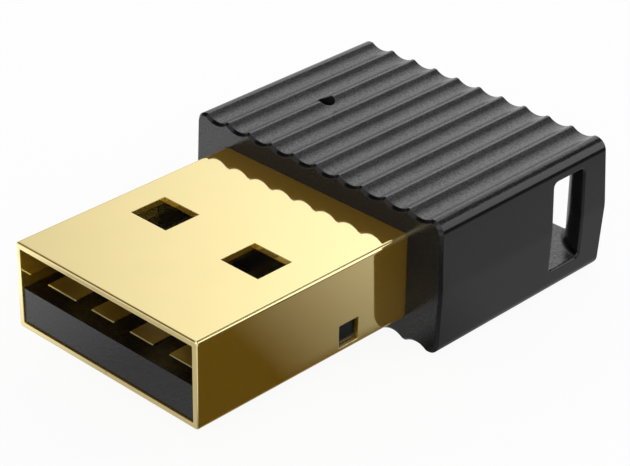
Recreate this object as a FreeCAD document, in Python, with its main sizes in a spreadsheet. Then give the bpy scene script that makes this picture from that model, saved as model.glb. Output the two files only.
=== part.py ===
import FreeCAD, Part
import math
import os
import re

import Sketcher

# A short USB radio adapter: a folded plug shell with its contact carrier, the board behind it and
# a ridged moulded case with a cord passage round one rear corner.
# Millimetres. The origin is on the plug's centreline, in the plane of the case's front face.
# The plug's nose points along -Y, +X is to the right and +Z is up.

SIZES = {
    # Case, widest at its parting line, half way up
    "case_width": 16.32,
    "case_height": 7.04,
    "case_length": 12.16,
    "case_draft": 2.4,
    "parting_radius": 3.0,
    "shoulder_radius": 0.6,
    "front_bevel": 0.14,
    "rear_bevel": 0.12,
    "rear_wall": 1.3,
    "shell_clearance": 0.02,
    # Ridges along the case, above and below, as many pairs as come nearest to the spacing
    "flute_spacing": 1.48,
    "flute_depth": 0.22,
    "crest_radius": 0.15,
    "crest_land": 0.05,
    # Lamp hole, on a crest counted leftward from the middle one
    "lamp_hole_bore": 0.88,
    "lamp_hole_crest": 3,
    "lamp_hole_inset": 6.74,
    # Cord passage, turned about an upright axis outside the rear right corner
    "loop_axis_out": 0.59,
    "loop_axis_back": 0.99,
    "loop_post_radius": 2.95,
    "loop_gap": 2.17,
    "loop_rise": 2.56,
    "loop_drop": 2.28,
    "loop_corner_radius": 0.26,
    "loop_lip": 0.12,
    "loop_wall": 0.6,
    # Plug shell, folded from sheet with its seam underneath
    "plug_width": 12.0,
    "plug_height": 4.5,
    "plug_reach": 13.12,
    "shell_sheet": 0.3,
    "shell_corner_radius": 0.18,
    "shell_bend": 0.05,
    "shell_nose_radius": 0.1,
    "shell_over_board": 2.6,
    "leg_length": 1.5,
    "leg_height": 1.2,
    "window_width": 2.38,
    "window_length": 2.11,
    "window_spacing": 6.02,
    "window_shift": -0.13,
    "window_back": 5.48,
    "catch_length": 1.26,
    "catch_height": 1.18,
    "catch_back": 8.7,
    "catch_drop": 1.36,
    "seam_gap": 0.04,
    "seam_key_length": 1.2,
    "seam_key_neck": 1.2,
    "seam_key_head": 1.8,
    "seam_key_back": 8.0,
    # Contact carrier: a tongue in the plug's mouth and a block behind it
    "carrier_clearance": 0.03,
    "tongue_recess": 0.08,
    "tongue_drop": 0.11,
    "mouth_depth": 8.4,
    "catch_rise": 0.1,
    # Contacts, stamped flat and let into the tongue
    "contact_sheet": 0.2,
    "contact_rise": 0.05,
    "contact_back": 1.0,
    "contact_clearance": 0.02,
    "contact_nose_radius": 0.08,
    "power_contact_width": 1.95,
    "power_contact_spacing": 8.2,
    "data_contact_width": 1.5,
    "data_contact_spacing": 2.6,
    "tail_width": 0.9,
    "tail_length": 1.5,
    "tail_shoulder": 1.2,
    # Circuit board
    "board_sheet": 0.8,
    "board_length": 9.11,
    "board_neck_width": 11.1,
    "board_side_clearance": 0.1,
    "board_end_clearance": 0.15,
    "leg_clearance": 0.1,
    # Radio chip, in the middle of the board's upper side
    "radio_chip_width": 5.0,
    "radio_chip_height": 0.85,
    "radio_chip_x": 0.4,
    "radio_chip_back": 5.0,
    "mark_bore": 0.5,
    "mark_depth": 0.05,
    "mark_inset": 0.7,
    # Crystal, a lidded box beside the radio chip
    "crystal_width": 2.0,
    "crystal_length": 2.5,
    "crystal_height": 0.55,
    "crystal_lid_inset": 0.15,
    "crystal_lid_height": 0.12,
    "crystal_gap": 0.35,
    "crystal_back": 3.95,
    "crystal_capacitor_gap": 0.3,
    # Lamp, with its lens under the lamp hole
    "lamp_width": 0.8,
    "lamp_length": 1.6,
    "lamp_base_height": 0.25,
    "lamp_lens_length": 1.1,
    "lamp_lens_height": 0.35,
    "lamp_resistor_gap": 0.2,
    # Aerial block at the board's rear edge, far from the plug
    "aerial_width": 3.2,
    "aerial_length": 1.6,
    "aerial_height": 1.1,
    "aerial_x": -3.9,
    "aerial_rear_gap": 0.4,
    "aerial_match_gap": 0.55,
    "aerial_match_spacing": 1.7,
    # Regulator, memory chip and filters under the board
    "lower_row_back": 5.2,
    "regulator_width": 2.9,
    "regulator_length": 1.6,
    "regulator_height": 0.95,
    "regulator_x": -3.6,
    "lead_width": 0.4,
    "lead_height": 0.15,
    "lead_reach": 0.5,
    "lead_pitch": 0.95,
    "memory_width": 3.0,
    "memory_length": 2.0,
    "memory_height": 0.75,
    "memory_x": 0.6,
    "supply_bead_x": 3.9,
    "filter_row_gap": 1.3,
    "filter_count": 4,
    "filter_row_x": -2.2,
    "filter_pitch": 1.3,
    # Small two-ended chips
    "small_chip_length": 1.0,
    "small_chip_width": 0.5,
    "small_chip_height": 0.35,
    "small_chip_cap": 0.25,
    "small_chip_cap_rise": 0.03,
    "data_resistor_gap": 0.25,
}

# Sizes that follow from the driving ones
DERIVED = {
    "crest_level": "case_height / 2",
    "draft_slope": "tan(case_draft * 1deg)",
    "case_top_corner": "case_width / 2 - crest_level * draft_slope",
    "shoulder_run": "shoulder_radius / tan((90 + case_draft) / 2 * 1deg)",
    "ridged_half_width": "case_top_corner - shoulder_run",
    "flute_pairs": "round(ridged_half_width / flute_spacing)",
    "flute_pitch": "(ridged_half_width - crest_land / 2) / flute_pairs",
    "flute_half_chord": "(flute_pitch - crest_land) / 2",
    "flute_reach": "(flute_half_chord ^ 2 + flute_depth ^ 2) / (2 * flute_depth)",
    "flute_radius": "flute_reach - crest_radius",
    "flute_headroom": "2 * flute_depth",
    "first_flute": "flute_pitch / 2 - flute_pitch * flute_pairs",
    "lamp_x": "-flute_pitch * lamp_hole_crest",
    "lamp_y": "case_length - lamp_hole_inset",
    "loop_axis_x": "case_width / 2 + loop_axis_out",
    "loop_axis_y": "case_length + loop_axis_back",
    "loop_outer_radius": "loop_post_radius + loop_gap",
    "cavity_half_width": "plug_width / 2 + shell_clearance",
    "cavity_half_height": "plug_height / 2 + shell_clearance",
    "cavity_rear": "case_length - rear_wall",
    "cavity_diagonal": "loop_axis_x + loop_axis_y - sqrt(2) * (loop_outer_radius + loop_wall)",
    "inner_half_width": "plug_width / 2 - shell_sheet",
    "inner_half_height": "plug_height / 2 - shell_sheet",
    "nose": "-plug_reach",
    "contact_underside": "contact_rise - tongue_drop - contact_sheet",
    "board_underside": "contact_underside - board_sheet",
    "leg_middle": "contact_underside - board_sheet / 2",
    "board_rear": "cavity_rear - board_end_clearance",
    "board_front": "board_rear - board_length",
    "shell_rear": "board_front + shell_over_board",
    "leg_rear": "shell_rear + leg_length",
    "block_front": "nose + mouth_depth",
    "board_half_width": "cavity_half_width - board_side_clearance",
    "board_diagonal": "cavity_diagonal - sqrt(2) * board_end_clearance",
    "carrier_half_width": "inner_half_width - carrier_clearance",
    "carrier_half_height": "inner_half_height - carrier_clearance",
    "crystal_x": "radio_chip_x + radio_chip_width / 2 + crystal_gap + crystal_width / 2",
    "crystal_y": "board_front + crystal_back",
    "lower_row_y": "board_front + lower_row_back",
}

document = FreeCAD.newDocument("radio_adapter")
sheet = document.addObject("Spreadsheet::Sheet", "sizes")
for row, (alias, number) in enumerate(SIZES.items(), 1):
    sheet.set(f"A{row}", alias)
    sheet.set(f"B{row}", str(number))
    sheet.setAlias(f"B{row}", alias)
document.recompute()


def formula(text):
    """The text with each size's word turned into a reference to the sheet."""
    def reference(word):
        name = word[0]
        if name in DERIVED:
            return f"({formula(DERIVED[name])})"
        return f"sizes.{name}" if name in SIZES else name
    return re.sub(r"[a-z][a-z_]*", reference, str(text))


def value(text):
    return float(sheet.evalExpression(formula(text)))


def bind(owner, **properties):
    for name, text in properties.items():
        owner.setExpression(name, formula(text))


def new_body(label, x="0", y="0", z="0"):
    body = document.addObject("PartDesign::Body", label)
    body.Label = label
    for axis, text in zip("xyz", (x, y, z)):
        body.setExpression(f"Placement.Base.{axis}", formula(text))
    return body


def new_sketch(body, name, plane, offset=("0", "0", "0")):
    """A sketch on one of the body's own planes, moved in that plane and along its normal."""
    sketch = body.newObject("Sketcher::SketchObject", f"{body.Label}_{name}")
    planes = [feature for feature in body.Origin.OriginFeatures if feature.Role == plane]
    sketch.AttachmentSupport = [(planes[0], "")]
    sketch.MapMode = "FlatFace"
    for axis, text in zip("xyz", offset):
        sketch.setExpression(f"AttachmentOffset.Base.{axis}", formula(text))
    return sketch


def place_point(sketch, geometry, point, x, y):
    """Ties a point to a pair of formulas, or to an axis where one of them is nought."""
    for kind, axis, text in (("DistanceX", -2, x), ("DistanceY", -1, y)):
        if text == "0":
            sketch.addConstraint(Sketcher.Constraint("PointOnObject", geometry, point, axis))
            continue
        index = sketch.addConstraint(Sketcher.Constraint(kind, geometry, point, value(text)))
        sketch.setExpression(f"Constraints[{index}]", formula(text))


def add_size(sketch, kind, geometry, text):
    index = sketch.addConstraint(Sketcher.Constraint(kind, geometry, value(text)))
    sketch.setExpression(f"Constraints[{index}]", formula(text))


def draw_outline(sketch, corners):
    """A closed outline; a corner with a third formula is rounded by that radius."""
    points = [FreeCAD.Vector(value(x), value(y), 0) for x, y, *_ in corners]
    count = len(points)
    arrivals = list(points)
    departures = list(points)
    arcs = {}
    for index, (x, y, *radius) in enumerate(corners):
        if not radius:
            continue
        corner = points[index]
        back = (points[index - 1] - corner).normalize()
        ahead = (points[(index + 1) % count] - corner).normalize()
        half_angle = back.getAngle(ahead) / 2
        run = value(radius[0]) / math.tan(half_angle)
        arrivals[index] = corner + back * run
        departures[index] = corner + ahead * run
        inward = (back + ahead).normalize()
        centre = corner + inward * (value(radius[0]) / math.sin(half_angle))
        arcs[index] = (centre, back.cross(ahead).z < 0)
    first = sketch.GeometryCount
    for index in range(count):
        following = (index + 1) % count
        line = Part.LineSegment(departures[index], arrivals[following])
        sketch.addGeometry(line, False)
    for index, (x, y, *radius) in enumerate(corners):
        line = first + index
        previous = first + (index - 1) % count
        if not radius:
            sketch.addConstraint(Sketcher.Constraint("Coincident", previous, 2, line, 1))
            place_point(sketch, line, 1, x, y)
            continue
        centre, turns_left = arcs[index]
        ends = [arrivals[index], departures[index]]
        if not turns_left:
            ends.reverse()
        angles = [math.atan2(*reversed((end - centre)[:2])) for end in ends]
        circle = Part.Circle(centre, FreeCAD.Vector(0, 0, 1), value(radius[0]))
        arc = sketch.addGeometry(Part.ArcOfCircle(circle, *angles), False)
        arriving, departing = (1, 2) if turns_left else (2, 1)
        sketch.addConstraint(Sketcher.Constraint("Tangent", previous, 2, arc, arriving))
        sketch.addConstraint(Sketcher.Constraint("Tangent", arc, departing, line, 1))
        add_size(sketch, "Radius", arc, radius[0])
        corner = sketch.addGeometry(Part.Point(points[index]), True)
        sketch.addConstraint(Sketcher.Constraint("PointOnObject", corner, 1, previous))
        sketch.addConstraint(Sketcher.Constraint("PointOnObject", corner, 1, line))
        place_point(sketch, corner, 1, x, y)


def draw_rectangle(sketch, left, right, bottom, top, *radius):
    corners = [(left, bottom), (right, bottom), (right, top), (left, top)]
    draw_outline(sketch, [(x, y, *radius) for x, y in corners])


def draw_circle(sketch, x, y, bore):
    centre = FreeCAD.Vector(value(x), value(y), 0)
    circle = Part.Circle(centre, FreeCAD.Vector(0, 0, 1), value(bore) / 2)
    geometry = sketch.addGeometry(circle, False)
    place_point(sketch, geometry, 3, x, y)
    add_size(sketch, "Diameter", geometry, bore)


def add_feature(body, kind, name, sketch, **properties):
    """A pad, pocket or groove of one sketch; True and words are set, formulas are bound."""
    feature = body.newObject(f"PartDesign::{kind}", f"{body.Label}_{name}")
    feature.Profile = sketch
    for key, setting in properties.items():
        if key == "Length":
            feature.setExpression(key, formula(setting))
        else:
            setattr(feature, key, setting)
    document.recompute()
    return feature


def add_pad(body, name, sketch, **properties):
    return add_feature(body, "Pad", name, sketch, **properties)


def add_pocket(body, name, sketch, **properties):
    """A pocket that must take something away."""
    before = body.Shape.Volume
    pocket = add_feature(body, "Pocket", name, sketch, **properties)
    if body.Shape.Volume >= before:
        raise RuntimeError(f"{pocket.Name} cuts nothing")
    return pocket


def cut_groove(body, name, sketch, **properties):
    """A turned cut that must take something away."""
    before = body.Shape.Volume
    groove = add_feature(body, "Groove", name, sketch, **properties)
    if body.Shape.Volume >= before:
        raise RuntimeError(f"{groove.Name} cuts nothing")
    return groove


def cut_through(body, name, sketch):
    return add_pocket(body, name, sketch, Type="ThroughAll", SideType="Symmetric")


def dress_edges(body, kind, name, chosen, **size):
    """Dresses the edges that are chosen from the body's shape."""
    base = body.Tip
    picked = chosen(base.Shape)
    names = [f"Edge{i}" for i, edge in enumerate(base.Shape.Edges, 1) if holds(picked, edge)]
    feature = body.newObject(f"PartDesign::{kind}", f"{body.Label}_{name}")
    feature.Base = (base, names)
    bind(feature, **size)
    document.recompute()


def round_edges(body, name, radius, chosen):
    dress_edges(body, "Fillet", name, chosen, Radius=radius)


def bevel_edges(body, name, size, chosen):
    dress_edges(body, "Chamfer", name, chosen, Size=size)


def holds(shapes, shape):
    return any(shape.isSame(other) for other in shapes)


def outer_edges(faces):
    """The edges that belong to one of the faces only."""
    edges = [edge for face in faces for edge in face.Edges]
    return [edge for edge in edges if sum(edge.isSame(other) for other in edges) == 1]


def looks(face, direction):
    """True for a face that looks the way given, or nearly."""
    return face.normalAt(0, 0).getAngle(direction) < math.radians(FACING_ANGLE)


def rim(shape, outward):
    """The edges round the faces that look the way given."""
    return outer_edges([face for face in shape.Faces if looks(face, outward)])


TOUCH = 1e-3
FACING_ANGLE = 25
REARWARD = FreeCAD.Vector(0, 1, 0)


def lies_along(edge, direction):
    """True for a straight edge that runs in the direction given."""
    if not isinstance(edge.Curve, Part.Line):
        return False
    return abs(edge.tangentAt(edge.FirstParameter).dot(direction)) > 1 - TOUCH


def draw_flute(sketch):
    """One concave flute between two rounded crests, centred, with the crest plane as its X axis."""
    reach = value("flute_half_chord")
    depth = value("flute_depth")
    clear = value("flute_headroom")
    crest = value("crest_radius")
    hollow = value("flute_radius")
    up = FreeCAD.Vector(0, 0, 1)
    left_centre = FreeCAD.Vector(-reach, -crest, 0)
    right_centre = FreeCAD.Vector(reach, -crest, 0)
    hollow_centre = FreeCAD.Vector(0, hollow - depth, 0)
    lean = math.atan2(hollow_centre.y + crest, reach)
    arcs = (
        (left_centre, crest, lean, math.pi / 2),
        (hollow_centre, hollow, math.pi + lean, 2 * math.pi - lean),
        (right_centre, crest, math.pi / 2, math.pi - lean),
    )
    for centre, radius, start, end in arcs:
        sketch.addGeometry(Part.ArcOfCircle(Part.Circle(centre, up, radius), start, end), False)
    corners = [(-reach, 0), (-reach, clear), (reach, clear), (reach, 0)]
    points = [FreeCAD.Vector(x, y, 0) for x, y in corners]
    for start, end in zip(points, points[1:]):
        sketch.addGeometry(Part.LineSegment(start, end), False)
    for first, second, kind in (
        ((0, 1), (1, 1), "Tangent"),
        ((1, 2), (2, 2), "Tangent"),
        ((0, 2), (3, 1), "Coincident"),
        ((3, 2), (4, 1), "Coincident"),
        ((4, 2), (5, 1), "Coincident"),
        ((5, 2), (2, 1), "Coincident"),
        ((0, 3), (0, 2), "Vertical"),
        ((2, 3), (2, 1), "Vertical"),
    ):
        sketch.addConstraint(Sketcher.Constraint(kind, *first, *second))
    sketch.addConstraint(Sketcher.Constraint("Vertical", 3))
    sketch.addConstraint(Sketcher.Constraint("Horizontal", 4))
    sketch.addConstraint(Sketcher.Constraint("Vertical", 5))
    place_point(sketch, 0, 3, "-flute_half_chord", "-crest_radius")
    place_point(sketch, 2, 3, "flute_half_chord", "-crest_radius")
    add_size(sketch, "Radius", 0, "crest_radius")
    add_size(sketch, "Radius", 2, "crest_radius")
    add_size(sketch, "Radius", 1, "flute_radius")
    add_size(sketch, "DistanceY", 3, "flute_headroom")


def make_case():
    """The moulded case: a drafted, ridged block with a blind cavity and a cord passage."""
    body = new_body("case")
    front = new_sketch(body, "outline", "XZ_Plane")
    draw_outline(front, [
        ("case_width / 2", "0", "parting_radius"),
        ("case_top_corner", "crest_level", "shoulder_radius"),
        ("-case_top_corner", "crest_level", "shoulder_radius"),
        ("-case_width / 2", "0", "parting_radius"),
        ("-case_top_corner", "-crest_level", "shoulder_radius"),
        ("case_top_corner", "-crest_level", "shoulder_radius"),
    ])
    add_pad(body, "block", front, Length="case_length", Reversed=True)

    draft = new_sketch(body, "rear_draft", "YZ_Plane")
    draw_outline(draft, [
        ("case_length", "0", "parting_radius"),
        ("case_length - case_height * draft_slope", "case_height"),
        ("case_length + case_height", "case_height"),
        ("case_length + case_height", "-case_height"),
        ("case_length - case_height * draft_slope", "-case_height"),
    ])
    cut_through(body, "rear_face", draft)

    flute = new_sketch(body, "flute", "XZ_Plane", ("first_flute", "crest_level", "0"))
    draw_flute(flute)
    groove = add_pocket(body, "first_flute", flute, Type="ThroughAll")
    flutes = body.newObject("PartDesign::MultiTransform", "case_flutes")
    along = body.newObject("PartDesign::LinearPattern", "case_flutes_across")
    along.Direction = (flute, ["H_Axis"])
    bind(along, Length="-2 * first_flute", Occurrences="2 * flute_pairs")
    below = body.newObject("PartDesign::Mirrored", "case_flutes_below")
    planes = [feature for feature in body.Origin.OriginFeatures if feature.Role == "XY_Plane"]
    below.MirrorPlane = (planes[0], [""])
    flutes.Originals = [groove]
    flutes.Transformations = [along, below]
    body.Tip = flutes
    document.recompute()

    bevel_edges(body, "front_edge", "front_bevel", lambda shape: rim(shape, -REARWARD))
    bevel_edges(body, "rear_edge", "rear_bevel", lambda shape: rim(shape, REARWARD))

    cavity = new_sketch(body, "cavity", "XY_Plane")
    draw_outline(cavity, [
        ("-cavity_half_width", "-rear_wall"),
        ("cavity_half_width", "-rear_wall"),
        ("cavity_half_width", "cavity_diagonal - cavity_half_width"),
        ("cavity_diagonal - cavity_rear", "cavity_rear"),
        ("-cavity_half_width", "cavity_rear"),
    ])
    add_pocket(body, "cavity", cavity, Length="2 * cavity_half_height", SideType="Symmetric")

    def cavity_corners(shape):
        level = value("cavity_half_height")
        edges = [edge for edge in shape.Edges if lies_along(edge, REARWARD)]
        return [edge for edge in edges if abs(abs(edge.CenterOfMass.z) - level) < TOUCH]

    round_edges(body, "cavity_corners", "shell_corner_radius", cavity_corners)

    lamp_hole = new_sketch(body, "lamp_hole", "XY_Plane")
    draw_circle(lamp_hole, "lamp_x", "lamp_y", "lamp_hole_bore")
    add_pocket(body, "lamp_hole", lamp_hole, Type="ThroughAll", Reversed=True)

    passage = new_sketch(body, "cord_passage", "XZ_Plane", ("loop_axis_x", "0", "-loop_axis_y"))
    draw_rectangle(
        passage, "-loop_outer_radius", "-loop_post_radius",
        "-loop_drop", "loop_rise", "loop_corner_radius",
    )
    cut_groove(body, "cord_passage", passage, ReferenceAxis=(passage, ["V_Axis"]))
    round_edges(body, "passage_lips", "loop_lip", passage_rims)
    return body


def passage_rims(shape):
    """The edges where the cord passage comes out of the case's side and rear faces."""
    axis = FreeCAD.Vector(value("loop_axis_x"), value("loop_axis_y"), 0)
    nearest = value("loop_post_radius") - TOUCH
    farthest = value("loop_outer_radius") + TOUCH
    lowest = -value("loop_drop") - TOUCH
    highest = value("loop_rise") + TOUCH

    def inside(vertex):
        out = (FreeCAD.Vector(vertex.X, vertex.Y, 0) - axis).Length
        return nearest < out < farthest and lowest < vertex.Z < highest

    faces = [face for face in shape.Faces if all(inside(vertex) for vertex in face.Vertexes)]
    return outer_edges(faces)


def make_plug_shell():
    """The plug shell: one sheet folded round, keyed seam below, windows and two solder legs."""
    body = new_body("plug_shell")
    outline = new_sketch(body, "outline", "XZ_Plane", ("0", "0", "plug_reach"))
    draw_rectangle(
        outline, "-plug_width / 2", "plug_width / 2",
        "-plug_height / 2", "plug_height / 2", "shell_corner_radius",
    )
    draw_rectangle(
        outline, "-inner_half_width", "inner_half_width",
        "-inner_half_height", "inner_half_height", "shell_bend",
    )
    add_pad(body, "sheet", outline, Length="plug_reach + leg_rear", Reversed=True)

    def nose_rim(shape):
        front = [face for face in shape.Faces if looks(face, -REARWARD)]
        return front[0].OuterWire.Edges

    round_edges(body, "nose", "shell_nose_radius", nose_rim)

    windows = new_sketch(body, "windows", "XY_Plane")
    for side in (-1, 1):
        draw_rectangle(
            windows,
            f"window_shift + ({side} * window_spacing - window_width) / 2",
            f"window_shift + ({side} * window_spacing + window_width) / 2",
            "nose + window_back",
            "nose + window_back + window_length",
        )
    cut_through(body, "windows", windows)

    catches = new_sketch(body, "catch_windows", "YZ_Plane")
    draw_catch(catches, "0")
    cut_through(body, "catch_windows", catches)

    rear = new_sketch(body, "legs", "YZ_Plane")
    for near, far in (("leg_middle + leg_height / 2", "plug_height"),
                      ("-plug_height", "leg_middle - leg_height / 2")):
        draw_rectangle(rear, "shell_rear", "leg_rear + leg_length", near, far)
    cut_through(body, "legs", rear)

    seam = new_sketch(body, "seam", "XY_Plane")
    draw_seam(seam)
    add_pocket(body, "seam", seam, Type="ThroughAll")
    return body


def draw_catch(sketch, clearance):
    """The side window's outline, or with a clearance that of the catch inside it."""
    draw_rectangle(
        sketch,
        f"nose + catch_back + {clearance}",
        f"nose + catch_back + catch_length - {clearance}",
        f"-catch_drop - catch_height / 2 + {clearance}",
        f"-catch_drop + catch_height / 2 - {clearance}",
    )


def draw_seam(sketch):
    """The gap between the sheet's two edges: straight, but for one flared key that locks them."""
    left, right = "-seam_gap / 2", "seam_gap / 2"
    key_front = "nose + seam_key_back"
    middle = f"{key_front} + seam_key_head / 2"
    reach = "seam_key_length"
    front, rear = "nose - seam_gap", "leg_rear"
    draw_outline(sketch, [
        (left, front),
        (right, front),
        (right, f"{middle} - seam_key_neck / 2"),
        (f"{reach} + seam_gap / 2", f"{middle} - seam_key_head / 2"),
        (f"{reach} + seam_gap / 2", f"{middle} + seam_key_head / 2"),
        (right, f"{middle} + seam_key_neck / 2"),
        (right, rear),
        (left, rear),
        (left, f"{middle} + seam_key_neck / 2 - seam_gap"),
        (f"{reach} - seam_gap / 2", f"{middle} + seam_key_head / 2 - seam_gap"),
        (f"{reach} - seam_gap / 2", f"{middle} - seam_key_head / 2 + seam_gap"),
        (left, f"{middle} - seam_key_neck / 2 + seam_gap"),
    ])


CONTACTS = {
    "contact_power": ("-power_contact_spacing / 2", "power_contact_width"),
    "contact_data_minus": ("-data_contact_spacing / 2", "data_contact_width"),
    "contact_data_plus": ("data_contact_spacing / 2", "data_contact_width"),
    "contact_ground": ("power_contact_spacing / 2", "power_contact_width"),
}


def draw_contact(sketch, width, clearance):
    """A contact in plan: a wide blade in the mouth, a narrow tail over the board."""
    blade = f"({width} / 2 + {clearance})"
    tail = f"(tail_width / 2 + {clearance})"
    front = f"nose + contact_back - {clearance}"
    shoulder = f"block_front + tail_shoulder + {clearance}"
    rear = "board_front + tail_length"
    draw_outline(sketch, [
        (f"-{blade}", front),
        (blade, front),
        (blade, shoulder),
        (tail, shoulder),
        (tail, rear),
        (f"-{tail}", rear),
        (f"-{tail}", shoulder),
        (f"-{blade}", shoulder),
    ])


def make_contact(label, x, width):
    body = new_body(label, x=x)
    plan = new_sketch(body, "plan", "XY_Plane", ("0", "0", "contact_underside"))
    draw_contact(plan, width, "0")
    add_pad(body, "blade", plan, Length="contact_sheet")

    def nose_edge(shape):
        edges = [edge for edge in shape.Edges if lies_along(edge, FreeCAD.Vector(1, 0, 0))]
        edges.sort(key=lambda edge: (edge.CenterOfMass.y, -edge.CenterOfMass.z))
        return edges[:1]

    round_edges(body, "nose", "contact_nose_radius", nose_edge)
    return body


def make_plug_carrier():
    """The moulded carrier: tongue, block and two side catches, with channels for the contacts."""
    body = new_body("plug_carrier")
    tongue = new_sketch(body, "tongue", "XZ_Plane", ("0", "0", "plug_reach - tongue_recess"))
    draw_rectangle(
        tongue, "-carrier_half_width", "carrier_half_width",
        "-carrier_half_height", "-tongue_drop",
    )
    add_pad(
        body, "tongue", tongue, Reversed=True,
        Length="plug_reach - tongue_recess + board_front",
    )
    block = new_sketch(body, "block", "XZ_Plane", ("0", "0", "-block_front"))
    draw_rectangle(
        block, "-carrier_half_width", "carrier_half_width",
        "-carrier_half_height", "carrier_half_height",
    )
    add_pad(body, "block", block, Length="board_front - block_front", Reversed=True)
    catch = new_sketch(body, "catches", "YZ_Plane")
    draw_catch(catch, "carrier_clearance")
    add_pad(body, "catches", catch, Length="2 * (inner_half_width + catch_rise)",
            SideType="Symmetric")

    def lower_corners(shape):
        edges = [edge for edge in shape.Edges if lies_along(edge, REARWARD)]
        level = value("carrier_half_height")
        half = value("carrier_half_width")
        return [
            edge for edge in edges
            if abs(abs(edge.CenterOfMass.z) - level) < TOUCH
            and abs(abs(edge.CenterOfMass.x) - half) < TOUCH
        ]

    round_edges(body, "corners", "shell_bend", lower_corners)
    for label, (x, width) in CONTACTS.items():
        channel = new_sketch(body, f"{label}_channel", "XY_Plane", (x, "0", "contact_underside"))
        draw_contact(channel, width, "contact_clearance")
        add_pocket(body, f"{label}_channel", channel, Length="contact_sheet", Reversed=True)
    return body


def make_circuit_board():
    """The board: a neck between the shell's legs, shoulders behind them, one corner cut off."""
    body = new_body("circuit_board")
    plan = new_sketch(body, "plan", "XY_Plane", ("0", "0", "board_underside"))
    shoulder = "leg_rear + leg_clearance"
    draw_outline(plan, [
        ("-board_neck_width / 2", "board_front"),
        ("board_neck_width / 2", "board_front"),
        ("board_neck_width / 2", shoulder),
        ("board_half_width", shoulder),
        ("board_half_width", "board_diagonal - board_half_width"),
        ("board_diagonal - board_rear", "board_rear"),
        ("-board_half_width", "board_rear"),
        ("-board_half_width", shoulder),
        ("-board_neck_width / 2", shoulder),
    ])
    add_pad(body, "laminate", plan, Length="board_sheet")
    return body


def make_radio_chip():
    """A flat moulded chip with a round dimple at its first corner."""
    body = new_body(
        "radio_chip", "radio_chip_x", "board_front + radio_chip_back", "contact_underside"
    )
    half = "radio_chip_width / 2"
    return make_marked_chip(body, half, half, "radio_chip_height")


def make_memory_chip():
    """A small moulded chip under the board."""
    body = new_body(
        "memory_chip", "memory_x", "lower_row_y", "board_underside - memory_height"
    )
    return make_marked_chip(body, "memory_width / 2", "memory_length / 2", "memory_height")


def make_marked_chip(body, half_width, half_length, height):
    plan = new_sketch(body, "plan", "XY_Plane")
    draw_rectangle(plan, f"-{half_width}", half_width, f"-{half_length}", half_length)
    add_pad(body, "block", plan, Length=height)
    mark = new_sketch(body, "mark", "XY_Plane", ("0", "0", f"{height} - mark_depth"))
    draw_circle(mark, f"mark_inset - {half_width}", f"{half_length} - mark_inset", "mark_bore")
    add_pocket(body, "mark", mark, Type="ThroughAll", Reversed=True)
    return body


def make_crystal():
    """A ceramic box with a metal lid a little smaller than it."""
    body = new_body("crystal", "crystal_x", "crystal_y", "contact_underside")
    half_width, half_length = "crystal_width / 2", "crystal_length / 2"
    base = new_sketch(body, "base", "XY_Plane")
    draw_rectangle(base, f"-{half_width}", half_width, f"-{half_length}", half_length)
    add_pad(body, "base", base, Length="crystal_height - crystal_lid_height")
    lid = new_sketch(body, "lid", "XY_Plane")
    inset = "crystal_lid_inset"
    draw_rectangle(
        lid,
        f"{inset} - {half_width}", f"{half_width} - {inset}",
        f"{inset} - {half_length}", f"{half_length} - {inset}",
    )
    add_pad(body, "lid", lid, Length="crystal_height")
    return body


def make_lamp():
    """The indicator lamp: a base and a raised lens, lined up with the case's lamp hole."""
    body = new_body("indicator_lamp", "lamp_x", "lamp_y", "contact_underside")
    base = new_sketch(body, "base", "XY_Plane")
    draw_rectangle(base, "-lamp_width / 2", "lamp_width / 2", "-lamp_length / 2", "lamp_length / 2")
    add_pad(body, "base", base, Length="lamp_base_height")
    lens = new_sketch(body, "lens", "XY_Plane")
    draw_rectangle(
        lens, "-lamp_width / 2", "lamp_width / 2",
        "-lamp_lens_length / 2", "lamp_lens_length / 2",
    )
    add_pad(body, "lens", lens, Length="lamp_base_height + lamp_lens_height")
    return body


def make_aerial():
    """A ceramic aerial block along the board's rear edge."""
    body = new_body(
        "aerial", "aerial_x", "board_rear - aerial_rear_gap - aerial_length / 2",
        "contact_underside",
    )
    plan = new_sketch(body, "plan", "XY_Plane")
    draw_rectangle(
        plan, "-aerial_width / 2", "aerial_width / 2", "-aerial_length / 2", "aerial_length / 2"
    )
    add_pad(body, "block", plan, Length="aerial_height")
    return body


def make_regulator():
    """The regulator under the board: a moulded body with three leads in front and two behind."""
    body = new_body("voltage_regulator", "regulator_x", "lower_row_y", "board_underside")
    plan = new_sketch(body, "plan", "XY_Plane")
    draw_rectangle(
        plan, "-regulator_width / 2", "regulator_width / 2",
        "-regulator_length / 2", "regulator_length / 2",
    )
    add_pad(body, "block", plan, Length="regulator_height", Reversed=True)
    leads = new_sketch(body, "leads", "XY_Plane")
    places = [(-1, -1), (0, -1), (1, -1), (-1, 1), (1, 1)]
    for column, row in places:
        near, far = "regulator_length / 2", "regulator_length / 2 + lead_reach"
        ends = (f"-({far})", f"-({near})") if row < 0 else (near, far)
        draw_rectangle(
            leads,
            f"{column} * lead_pitch - lead_width / 2",
            f"{column} * lead_pitch + lead_width / 2",
            *ends,
        )
    add_pad(body, "leads", leads, Length="lead_height", Reversed=True)
    return body


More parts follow.
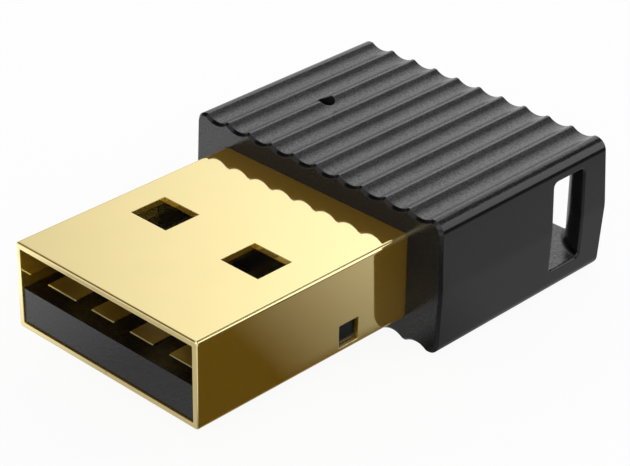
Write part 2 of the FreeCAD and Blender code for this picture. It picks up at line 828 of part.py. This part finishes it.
def make_small_chip(label, x, y, under=False, along_y=False):
    """A two-ended chip: a ceramic bar with a slightly larger metal cap on each end."""
    level = "board_underside - small_chip_height" if under else "contact_underside"
    body = new_body(label, x, y, level)
    if along_y:
        body.Placement.Rotation = FreeCAD.Rotation(FreeCAD.Vector(0, 0, 1), 90)
    rise = "small_chip_cap_rise"
    half_length, half_width = "small_chip_length / 2", "small_chip_width / 2"
    bar = new_sketch(body, "bar", "XY_Plane", ("0", "0", rise))
    draw_rectangle(
        bar, f"-{half_length}", half_length,
        f"{rise} - {half_width}", f"{half_width} - {rise}",
    )
    add_pad(body, "bar", bar, Length=f"small_chip_height - 2 * {rise}")
    caps = new_sketch(body, "caps", "XY_Plane")
    inner = f"{half_length} - small_chip_cap"
    draw_rectangle(caps, f"-{half_length}", f"-({inner})", f"-{half_width}", half_width)
    draw_rectangle(caps, inner, half_length, f"-{half_width}", half_width)
    add_pad(body, "caps", caps, Length="small_chip_height")
    return body


def make_small_chips():
    chips = []
    lamp_front = "lamp_y - lamp_length / 2"
    chips.append(make_small_chip(
        "lamp_resistor", "lamp_x",
        f"{lamp_front} - lamp_resistor_gap - small_chip_length / 2", along_y=True,
    ))
    tail_end = "board_front + tail_length"
    for label, side in (("data_minus_resistor", "-"), ("data_plus_resistor", "")):
        chips.append(make_small_chip(
            label, f"{side}data_contact_spacing / 2",
            f"{tail_end} + data_resistor_gap + small_chip_width / 2",
        ))
    reach = "crystal_length / 2 + crystal_capacitor_gap + small_chip_width / 2"
    for number, side in ((1, "-"), (2, "+")):
        chips.append(make_small_chip(
            f"crystal_capacitor_{number}", "crystal_x", f"crystal_y {side} ({reach})",
        ))
    aerial_front = "board_rear - aerial_rear_gap - aerial_length"
    for label, side in (("aerial_inductor", "-"), ("aerial_capacitor", "+")):
        chips.append(make_small_chip(
            label, f"aerial_x {side} aerial_match_spacing / 2",
            f"{aerial_front} - aerial_match_gap - small_chip_width / 2",
        ))
    chips.append(make_small_chip(
        "supply_bead", "supply_bead_x", "lower_row_y", under=True, along_y=True,
    ))
    for number in range(int(value("filter_count"))):
        chips.append(make_small_chip(
            f"filter_capacitor_{number + 1}", f"filter_row_x + {number} * filter_pitch",
            "board_rear - filter_row_gap", under=True, along_y=True,
        ))
    return chips


pieces = [
    make_case(),
    make_plug_shell(),
    make_plug_carrier(),
    make_circuit_board(),
    make_radio_chip(),
    make_crystal(),
    make_lamp(),
    make_aerial(),
    make_regulator(),
    make_memory_chip(),
]
pieces += [make_contact(label, x, width) for label, (x, width) in CONTACTS.items()]
pieces += make_small_chips()

document.recompute()
for item in document.Objects:
    if {"Invalid", "Error"} & set(item.State):
        raise RuntimeError(f"{item.Name} has failed")
for piece in pieces:
    if piece.Shape.isNull() or not piece.Shape.isValid():
        raise RuntimeError(f"{piece.Label} has no valid shape")

os.makedirs("parts", exist_ok=True)
for piece in pieces:
    piece.Shape.exportStep(f"parts/{piece.Label}.step")
    solids = len(piece.Shape.Solids)
    print(f"{piece.Label}: {solids} solid, {piece.Shape.Volume:.2f} cubic mm")
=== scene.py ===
import math

import bpy
from mathutils import Euler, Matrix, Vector


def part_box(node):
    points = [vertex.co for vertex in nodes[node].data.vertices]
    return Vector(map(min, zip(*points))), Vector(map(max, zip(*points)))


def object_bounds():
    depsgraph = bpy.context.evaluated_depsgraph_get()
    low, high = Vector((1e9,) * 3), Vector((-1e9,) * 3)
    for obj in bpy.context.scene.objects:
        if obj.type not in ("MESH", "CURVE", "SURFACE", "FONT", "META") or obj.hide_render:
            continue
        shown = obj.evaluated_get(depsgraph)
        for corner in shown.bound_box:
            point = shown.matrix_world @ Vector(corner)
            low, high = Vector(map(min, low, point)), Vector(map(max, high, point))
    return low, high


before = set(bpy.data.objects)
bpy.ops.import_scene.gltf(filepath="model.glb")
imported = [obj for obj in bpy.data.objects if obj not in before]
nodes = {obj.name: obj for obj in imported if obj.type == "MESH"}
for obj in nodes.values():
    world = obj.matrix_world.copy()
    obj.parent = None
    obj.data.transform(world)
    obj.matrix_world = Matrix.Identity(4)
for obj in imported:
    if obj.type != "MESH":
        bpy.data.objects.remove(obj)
cad_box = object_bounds()

MM = 0.001

# Camera: where it stands, where it looks and how it leans, with the lens of the photograph
CAMERA_PLACE = Vector((65.28, -67.47, 53.73)) * MM
CAMERA_AZIMUTH = 43.99
CAMERA_ELEVATION = 29.85
CAMERA_ROLL = 0.79
CAMERA_LENS = 129.7
SENSOR_WIDTH = 36.0
CAMERA_CLIP = (0.005, 10.0)

# Panels of the surround: middle, size, soft edge and level. All but the level are in degrees,
# as azimuth and elevation. Azimuth 0 is +X and 90 is +Y.
REAR_PANEL = ((143.0, 13.0), (60.0, 50.0), 22.0)
REAR_PANEL_FADE = (130.0, 146.0, 1.40, 0.56)
PANELS = (
    ((53.0, 21.0), (26.0, 38.0), 3.0, 1.75),
    ((72.0, 52.0), (5.0, 5.0), 3.0, 1.2),
    ((-45.0, 45.0), (60.0, 40.0), 10.0, 0.9),
)

# The surround without its panels. Plastic and paper are lit by one that is dimmer overhead, and
# reflections see another, which is dim but for its zenith and two places at the front.
SKY = (0.95, 0.95, 0.95)
ZENITH = (0.40, 0.40, 0.40)
ZENITH_START = (10.0, 70.0)
MIRRORED_BRIGHT = (0.9, 0.9, 0.9)
MIRRORED_DIM = (0.02, 0.02, 0.02)
MIRRORED_ZENITH_START = (58.0, 70.0)
MIRRORED_PLACES = (
    ((-50.0, 34.0), (130.0, 58.0), 8.0, 0.80),
    ((-135.0, 5.0), (40.0, 30.0), 8.0, 0.6),
)

# Floor: half its width, its paper's two tones, the size of its speckle's waves, and the share of
# plain white in what the camera sees of it
FLOOR_HALF = 0.6
PAPER_TONES = ((0.88, 0.88, 0.88), (0.92, 0.92, 0.92))
PAPER_SPECKLE = 900.0
FLOOR_WHITE = 0.92

# Black plastic: how far the ridges reach to either side, outside which the case's shoulders are
# smooth, and the height within which its level faces, such as the cord passage's floor, are not
RIDGES_REACH = 7.40 * MM
RIDGES_REACH_SOFT = 0.08 * MM
PASSAGE_LEVEL = (2.7 * MM, 2.8 * MM)

# How far each finish rounds its sharp edges, and the plating's rolling lines, in waves a metre
PLASTIC_ROUNDING = 0.06 * MM
METAL_ROUNDING = 0.05 * MM
ROLLING_LINES = (9000.0, 350.0, 9000.0)

# Colours, as shares of the light that comes back
WHITE = (1.0, 1.0, 1.0)
BLACK_PLASTIC = (0.009, 0.009, 0.0092)
GRAINED_PLASTIC = (0.041, 0.041, 0.0413)
CARRIER_PLASTIC = (0.004, 0.004, 0.0041)
GOLD = (0.95, 0.84, 0.445)
GOLD_BLOOM = (1.0, 0.54, 0.045)
LACQUER = (0.02, 0.16, 0.07)
CHIP_RESIN = (0.035, 0.035, 0.038)
CRYSTAL_LID = (0.70, 0.68, 0.62)
LAMP_LENS = (0.85, 0.85, 0.75)
AERIAL_BODY = (0.75, 0.76, 0.78)
TINNED_END = (0.72, 0.71, 0.69)
CERAMIC_TONES = ((0.20, 0.13, 0.08), (0.28, 0.19, 0.12))


class Nodes:
    """A node tree with short ways to add and join nodes."""

    def __init__(self, tree):
        self.tree = tree
        tree.nodes.clear()

    def add(self, kind, settings=None, **inputs):
        node = self.tree.nodes.new(kind)
        for name, setting in (settings or {}).items():
            setattr(node, name, setting)
        for name, source in inputs.items():
            self.feed(node.inputs[name.replace("_", " ")], source)
        return node

    def feed(self, socket, source):
        if isinstance(source, bpy.types.NodeSocket):
            self.tree.links.new(source, socket)
        elif isinstance(source, tuple) and len(source) == 3 and socket.type == "RGBA":
            socket.default_value = (*source, 1.0)
        else:
            socket.default_value = source

    def math(self, operation, first, second=0.0):
        node = self.tree.nodes.new("ShaderNodeMath")
        node.operation = operation
        self.feed(node.inputs[0], first)
        self.feed(node.inputs[1], second)
        return node.outputs[0]

    def ramp(self, source, start, end, low=0.0, high=1.0, kind="SMOOTHSTEP"):
        """From low at start to high at end, eased, and level outside them."""
        node = self.tree.nodes.new("ShaderNodeMapRange")
        node.interpolation_type = kind
        for name, setting in zip(("From Min", "From Max", "To Min", "To Max"),
                                 (start, end, low, high)):
            node.inputs[name].default_value = setting
        self.feed(node.inputs["Value"], source)
        return node.outputs["Result"]

    def product(self, *factors):
        total = factors[0]
        for factor in factors[1:]:
            total = self.math("MULTIPLY", total, factor)
        return total

    def highest(self, *levels):
        top = levels[0]
        for level in levels[1:]:
            top = self.math("MAXIMUM", top, level)
        return top

    def window(self, source, start, end, soft):
        """One between start and end, falling to nought over the soft width outside them."""
        return self.product(self.ramp(source, start - soft, start),
                            self.ramp(source, end, end + soft, 1.0, 0.0))

    def mix(self, factor, first, second):
        """A colour between two colours."""
        node = self.tree.nodes.new("ShaderNodeMix")
        node.data_type = "RGBA"
        self.feed(node.inputs["Factor"], factor)
        self.feed(node.inputs[6], first)
        self.feed(node.inputs[7], second)
        return node.outputs[2]

    def choose(self, factor, first, second):
        """One of two shaders, or their mix."""
        node = self.add("ShaderNodeMixShader", Fac=factor)
        self.feed(node.inputs[1], first)
        self.feed(node.inputs[2], second)
        return node.outputs[0]


# Light: a soft white surround with panels

def light_direction(world):
    """Azimuth and elevation of a direction, in degrees."""
    coordinates = world.add("ShaderNodeTexCoord")
    parts = world.add("ShaderNodeSeparateXYZ", Vector=coordinates.outputs["Generated"])
    x, y, z = parts.outputs
    azimuth = world.math("ARCTAN2", y, x)
    elevation = world.math("ARCSINE", z)
    return [world.math("MULTIPLY", angle, 180 / math.pi) for angle in (azimuth, elevation)]


def softbox(world, azimuth, elevation, place, size, soft, level):
    """A soft-edged panel of the surround."""
    across = world.window(azimuth, place[0] - size[0] / 2, place[0] + size[0] / 2, soft)
    upright = world.window(elevation, place[1] - size[1] / 2, place[1] + size[1] / 2, soft)
    return world.product(across, upright, level)


def make_world():
    scene_world = bpy.data.worlds.new("studio")
    scene_world.use_nodes = True
    bpy.context.scene.world = scene_world
    world = Nodes(scene_world.node_tree)
    azimuth, elevation = light_direction(world)
    around = world.math("FLOORED_MODULO", azimuth, 360.0)
    fade = world.ramp(around, *REAR_PANEL_FADE, "LINEAR")
    total = softbox(world, around, elevation, *REAR_PANEL, fade)
    for panel in PANELS:
        total = world.math("ADD", total, softbox(world, azimuth, elevation, *panel))
    ambient = world.mix(world.ramp(elevation, *ZENITH_START), SKY, ZENITH)
    places = [softbox(world, azimuth, elevation, *place) for place in MIRRORED_PLACES]
    bright = world.highest(world.ramp(elevation, *MIRRORED_ZENITH_START), *places)
    mirrored = world.mix(bright, MIRRORED_DIM, MIRRORED_BRIGHT)
    path = world.add("ShaderNodeLightPath")
    surround = world.mix(path.outputs["Is Glossy Ray"], ambient, mirrored)
    glow = world.add("ShaderNodeBackground", Color=surround, Strength=1.0)
    panel_light = world.add("ShaderNodeBackground", Color=WHITE, Strength=total)
    lit = world.add("ShaderNodeAddShader")
    world.feed(lit.inputs[0], glow.outputs[0])
    world.feed(lit.inputs[1], panel_light.outputs[0])
    backdrop = world.add("ShaderNodeBackground", Color=WHITE, Strength=1.0)
    seen = world.choose(path.outputs["Is Camera Ray"], lit.outputs[0], backdrop.outputs[0])
    world.add("ShaderNodeOutputWorld", Surface=seen)


def floor_card(tree, x, y):
    """How bright reflections see each place of the floor: white card on dark, in soft patches.

    Places are in metres.
    """
    left = tree.ramp(x, -0.014, -0.0095, 0.85, 0.0, "LINEAR")
    under_right_side = tree.ramp(x, 0.0055, 0.0074, 0.48, 0.0)
    near_mouth = tree.product(tree.window(y, -0.0172, -0.0144, 0.0015),
                              tree.ramp(x, -0.014, -0.002, 1.10, 0.0, "LINEAR"))
    leftward = tree.math("ADD", tree.math("ADD", left, under_right_side), near_mouth)
    leftward = tree.product(leftward, tree.ramp(x, -0.022, -0.016, 0.65, 1.0))
    off_case = tree.math("SUBTRACT", x, 0.0084)
    slanted = tree.math("SUBTRACT", y, tree.product(off_case, 0.25))
    rearward = tree.product(tree.ramp(slanted, -0.0062, 0.0050, 0.0, 0.48, "LINEAR"),
                            tree.ramp(y, 0.020, 0.032, 1.0, 0.0),
                            tree.ramp(x, 0.007, 0.0082),
                            tree.ramp(x, 0.0165, 0.0220, 1.0, 0.0))
    nose_right = tree.product(tree.ramp(x, 0.0065, 0.0080),
                              tree.ramp(y, -0.0165, -0.0135, 1.0, 0.0))
    far_right = tree.product(tree.highest(nose_right, tree.ramp(x, 0.016, 0.020)),
                             tree.ramp(y, -0.0060, -0.0035, 0.8, 0.0))
    return tree.highest(leftward, rearward, far_right)


def make_floor():
    """A pale floor under the case's crests. From below it can be seen through."""
    level = cad_box[0][2]
    mesh = bpy.data.meshes.new("floor")
    signs = ((-1, -1), (1, -1), (1, 1), (-1, 1))
    corners = [(FLOOR_HALF * across, FLOOR_HALF * along, level) for across, along in signs]
    mesh.from_pydata(corners, [], [(0, 1, 2, 3)])
    floor = bpy.data.objects.new("floor", mesh)
    bpy.context.scene.collection.objects.link(floor)
    material, tree = new_material("floor_paper")
    place = tree.add("ShaderNodeTexCoord").outputs["Object"]
    x, y, _ = tree.add("ShaderNodeSeparateXYZ", Vector=place).outputs
    reflected = tree.add("ShaderNodeEmission", Color=WHITE, Strength=floor_card(tree, x, y))
    speckle = tree.add("ShaderNodeTexNoise", Vector=place, Scale=PAPER_SPECKLE)
    tone = tree.mix(speckle.outputs["Fac"], *PAPER_TONES)
    paper = tree.add("ShaderNodeBsdfDiffuse", Color=tone).outputs[0]
    glow = tree.add("ShaderNodeEmission", Color=WHITE, Strength=1.0).outputs[0]
    clear = tree.add("ShaderNodeBsdfTransparent").outputs[0]
    path = tree.add("ShaderNodeLightPath").outputs
    by_eye = tree.choose(path["Is Camera Ray"], paper, tree.choose(FLOOR_WHITE, paper, glow))
    by_gloss = tree.choose(path["Is Glossy Ray"], by_eye, reflected.outputs[0])
    below = tree.add("ShaderNodeNewGeometry").outputs["Backfacing"]
    tree.add("ShaderNodeOutputMaterial", Surface=tree.choose(below, by_gloss, clear))
    floor.data.materials.append(material)


def make_camera():
    camera = bpy.data.cameras.new("camera")
    camera.lens = CAMERA_LENS
    camera.sensor_width = SENSOR_WIDTH
    camera.clip_start, camera.clip_end = CAMERA_CLIP
    holder = bpy.data.objects.new("camera", camera)
    bpy.context.scene.collection.objects.link(holder)
    turn = Euler((math.radians(90 - CAMERA_ELEVATION), 0.0, math.radians(CAMERA_AZIMUTH)))
    lean = Euler((0.0, 0.0, math.radians(CAMERA_ROLL)))
    holder.rotation_euler = (turn.to_matrix() @ lean.to_matrix()).to_euler()
    holder.location = CAMERA_PLACE
    bpy.context.scene.camera = holder


# Finishes

def new_material(name):
    material = bpy.data.materials.new(name)
    material.use_nodes = True
    return material, Nodes(material.node_tree)


def grain(tree, place, size):
    """Fine noise whose grains are about the size given, in metres."""
    noise = tree.add("ShaderNodeTexNoise", Vector=place, Scale=1 / size, Detail=2.0)
    return noise.outputs["Fac"]


def shade(colour, share):
    return tuple(channel * share for channel in colour)


def moulded_plastic(name, colour, grained, gloss, grain_size, grain_depth, mottle):
    """Black moulded plastic. Faces that look up or down are grained, and greyer than the others.

    The sides, the shoulders and the rounded front and rear edges are smooth; the rounded edges are
    drawn darker, a painted shade. The gloss is a pair of roughnesses, for the smooth faces and the
    grained ones, and mottle is the grain's contrast.
    """
    material, tree = new_material(name)
    place = tree.add("ShaderNodeTexCoord").outputs["Object"]
    spot = tree.add("ShaderNodeSeparateXYZ", Vector=place)
    facing = tree.add("ShaderNodeNewGeometry").outputs["Normal"]
    normal = tree.add("ShaderNodeSeparateXYZ", Vector=facing)
    sideways, forward, upright = [tree.math("ABSOLUTE", part) for part in normal.outputs]
    # The rounded front and rear edges, which are drawn darker below as painted shade
    edge = tree.ramp(tree.product(forward, upright), 0.08, 0.28)
    offside = tree.math("ABSOLUTE", spot.outputs[0])
    height = tree.math("ABSOLUTE", spot.outputs[2])
    ridged = tree.ramp(offside, RIDGES_REACH, RIDGES_REACH + RIDGES_REACH_SOFT, 1.0, 0.0)
    in_passage = tree.ramp(height, *PASSAGE_LEVEL, 1.0, 0.0)
    matt = tree.product(tree.ramp(upright, 0.74, 0.86), tree.highest(ridged, in_passage))
    share = tree.product(tree.ramp(sideways, 0.50, 0.85, 1.0, 0.12),
                         tree.math("SUBTRACT", 1.0, edge))
    fine = grain(tree, place, grain_size)
    broad = grain(tree, place, 40 * grain_size)
    speckle = tree.product(tree.ramp(fine, 0.38, 0.62), share)
    darker = 1 - 0.4 * mottle
    smooth_tint = tree.mix(speckle, shade(colour, darker), shade(colour, 1 + 1.6 * mottle))
    # Painted shade: the rounded front and rear edges take 0.3 of the colour
    smooth_tint = tree.mix(edge, smooth_tint, shade(colour, 0.3))
    grained_tint = tree.mix(speckle, shade(grained, darker), shade(grained, 1 + 0.45 * mottle))
    tint = tree.mix(matt, smooth_tint, grained_tint)
    tint = tree.mix(tree.ramp(broad, 0.3, 0.7, 0.0, 0.25), tint, shade(colour, 0.8))
    rough = tree.math("ADD", tree.ramp(fine, 0.3, 0.7, -0.04, 0.04),
                      tree.ramp(matt, 0.0, 1.0, *gloss, "LINEAR"))
    rounded = tree.add("ShaderNodeBevel", {"samples": 6}, Radius=PLASTIC_ROUNDING)
    bump = tree.add("ShaderNodeBump", Strength=share, Distance=grain_depth, Height=fine,
                    Normal=rounded.outputs[0])
    swing = 0.25 * mottle
    glint = tree.mix(share, (0.42, 0.42, 0.42),
                     tree.ramp(fine, 0.36, 0.64, 0.50 - swing, 0.50 + swing))
    surface = tree.add("ShaderNodeBsdfPrincipled", Base_Color=tint, Roughness=rough,
                       Specular_IOR_Level=glint, Normal=bump.outputs[0])
    tree.add("ShaderNodeOutputMaterial", Surface=surface.outputs[0])
    return material


def plated_metal(name, colour, roughness, bloom):
    """Plated sheet: nearly a mirror, with faint rolling lines, some cloud and a warm bloom."""
    material, tree = new_material(name)
    place = tree.add("ShaderNodeTexCoord").outputs["Object"]
    drawn = tree.add("ShaderNodeMapping", Vector=place, Scale=ROLLING_LINES)
    lines = tree.add("ShaderNodeTexNoise", Vector=drawn.outputs[0], Scale=1.0, Detail=2.0)
    cloud = grain(tree, place, 1.6 * MM)
    tint = tree.mix(cloud, colour, shade(colour, 0.96))
    rough = tree.ramp(lines.outputs["Fac"], 0.3, 0.7, roughness - 0.012, roughness + 0.012)
    rounded = tree.add("ShaderNodeBevel", {"samples": 6}, Radius=METAL_ROUNDING)
    bump = tree.add("ShaderNodeBump", Strength=0.03, Distance=0.002 * MM,
                    Height=lines.outputs["Fac"], Normal=rounded.outputs[0])
    surface = tree.add("ShaderNodeBsdfPrincipled", Base_Color=tint, Metallic=1.0, Roughness=rough,
                       Sheen_Weight=bloom, Sheen_Roughness=1.0, Sheen_Tint=GOLD_BLOOM,
                       Normal=bump.outputs[0])
    tree.add("ShaderNodeOutputMaterial", Surface=surface.outputs[0])
    return material


def plain_finish(name, colour, roughness, grain_size, metallic=0.0, coat=0.0):
    """A finish for the small parts: a speckled colour with an uneven gloss."""
    material, tree = new_material(name)
    place = tree.add("ShaderNodeTexCoord").outputs["Object"]
    fine = grain(tree, place, grain_size)
    tint = tree.mix(fine, shade(colour, 0.85), colour)
    rough = tree.ramp(fine, 0.3, 0.7, roughness - 0.05, roughness + 0.05)
    bump = tree.add("ShaderNodeBump", Strength=0.2, Distance=0.01 * MM, Height=fine)
    surface = tree.add("ShaderNodeBsdfPrincipled", Base_Color=tint, Metallic=metallic,
                       Roughness=rough, Coat_Weight=coat, Normal=bump.outputs[0])
    tree.add("ShaderNodeOutputMaterial", Surface=surface.outputs[0])
    return material


def two_ended_chip(name, axis):
    """Fired ceramic between tinned ends; axis is the one that the ends lie on, 0 or 1."""
    material, tree = new_material(name)
    coordinates = tree.add("ShaderNodeTexCoord")
    along = tree.add("ShaderNodeSeparateXYZ", Vector=coordinates.outputs["Generated"])
    away = tree.math("ABSOLUTE", tree.math("SUBTRACT", along.outputs[axis], 0.5))
    end = tree.math("GREATER_THAN", away, 0.25)
    fine = grain(tree, coordinates.outputs["Object"], 0.05 * MM)
    body = tree.mix(fine, *CERAMIC_TONES)
    tint = tree.mix(end, body, TINNED_END)
    rough = tree.ramp(fine, 0.3, 0.7, 0.32, 0.48)
    surface = tree.add("ShaderNodeBsdfPrincipled", Base_Color=tint, Metallic=end, Roughness=rough)
    tree.add("ShaderNodeOutputMaterial", Surface=surface.outputs[0])
    return material


def dress(finish, *names):
    for name in names:
        nodes[name].material_slots[0].material = finish


def dress_small_chips():
    """Each chip's tinned ends lie on the axis along which it is longer."""
    chips = [name for name, node in nodes.items()
             if node.material_slots[0].name == "small_chip_ceramic"]
    for axis, title in ((0, "small_chip_across"), (1, "small_chip_along")):
        finish = two_ended_chip(title, axis)
        for name in chips:
            low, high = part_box(name)
            if (high - low)[axis] > (high - low)[1 - axis]:
                dress(finish, name)


def dress_nodes():
    case_plastic = moulded_plastic("case_plastic_black", BLACK_PLASTIC, GRAINED_PLASTIC,
                                   gloss=(0.16, 0.20), grain_size=0.08 * MM,
                                   grain_depth=0.006 * MM, mottle=0.75)
    # The carrier's faces that look up or down, the tongue's top under the shell among them, take
    # 0.6 of its colour: painted shade
    carrier_plastic = moulded_plastic("carrier_plastic_black", CARRIER_PLASTIC,
                                      shade(CARRIER_PLASTIC, 0.6), gloss=(0.22, 0.14),
                                      grain_size=0.08 * MM, grain_depth=0.008 * MM, mottle=0.8)
    dress(case_plastic, "case")
    dress(carrier_plastic, "plug_carrier")
    dress(plated_metal("shell_plating", GOLD, 0.045, 0.24), "plug_shell")
    contacts = [name for name in nodes if name.startswith("contact_")]
    # The contacts' gold is drawn at 0.65 of the shell's: painted shade under the shell's roof
    dress(plated_metal("contact_plating", shade(GOLD, 0.65), 0.25, 0.07), *contacts)
    dress(plain_finish("board_lacquer", LACQUER, 0.30, 0.2 * MM, coat=0.5), "circuit_board")
    dress(plain_finish("chip_resin_dark", CHIP_RESIN, 0.50, 0.04 * MM),
          "radio_chip", "memory_chip", "voltage_regulator")
    dress(plain_finish("crystal_lid", CRYSTAL_LID, 0.28, 0.05 * MM, metallic=1.0), "crystal")
    dress(plain_finish("lamp_lens", LAMP_LENS, 0.18, 0.1 * MM, coat=0.6), "indicator_lamp")
    dress(plain_finish("aerial_body", AERIAL_BODY, 0.45, 0.06 * MM), "aerial")
    dress_small_chips()


bpy.context.scene.view_settings.view_transform = "Standard"
make_world()
make_floor()
make_camera()
dress_nodes()
